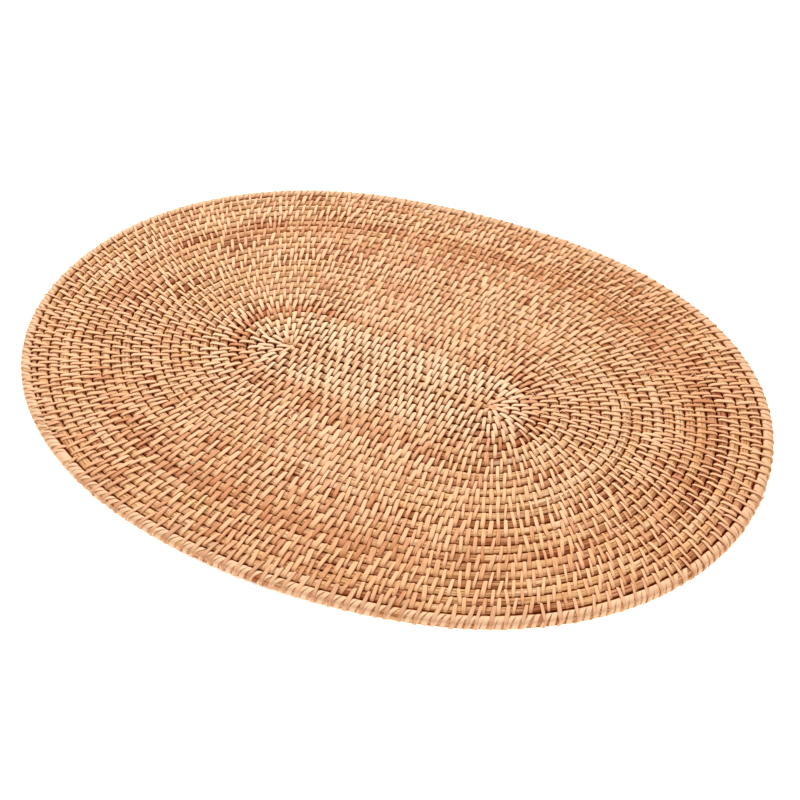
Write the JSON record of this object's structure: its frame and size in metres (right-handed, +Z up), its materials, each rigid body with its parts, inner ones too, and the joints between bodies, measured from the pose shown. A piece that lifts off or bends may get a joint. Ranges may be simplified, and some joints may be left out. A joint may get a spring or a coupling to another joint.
{
  "type": "oval rattan placemat",
  "caption": "Flat oval placemat of round cane coiled from a straight start and bound with peel, with a wrapped edge.",
  "frame": {"origin": "middle of the mat's box in plan, on the underside that rests on the table", "axes": "+X along the mat's length, +Y across it, +Z up through its thickness"},
  "size_m": [0.4534, 0.3372, 0.0062],
  "materials": {
    "cane": "peeled round rattan core, satin, honey to red-brown, fine grain lengthways",
    "edge_cane": "edge cane wrapped with peel, satin, peach to tan",
    "peel": "split rattan peel strips, satin, pale straw to peach, fine grain lengthways"
  },
  "bodies": {
    "root": {"coil": "cane", "edge": "edge_cane"}
  },
  "joints": []
}
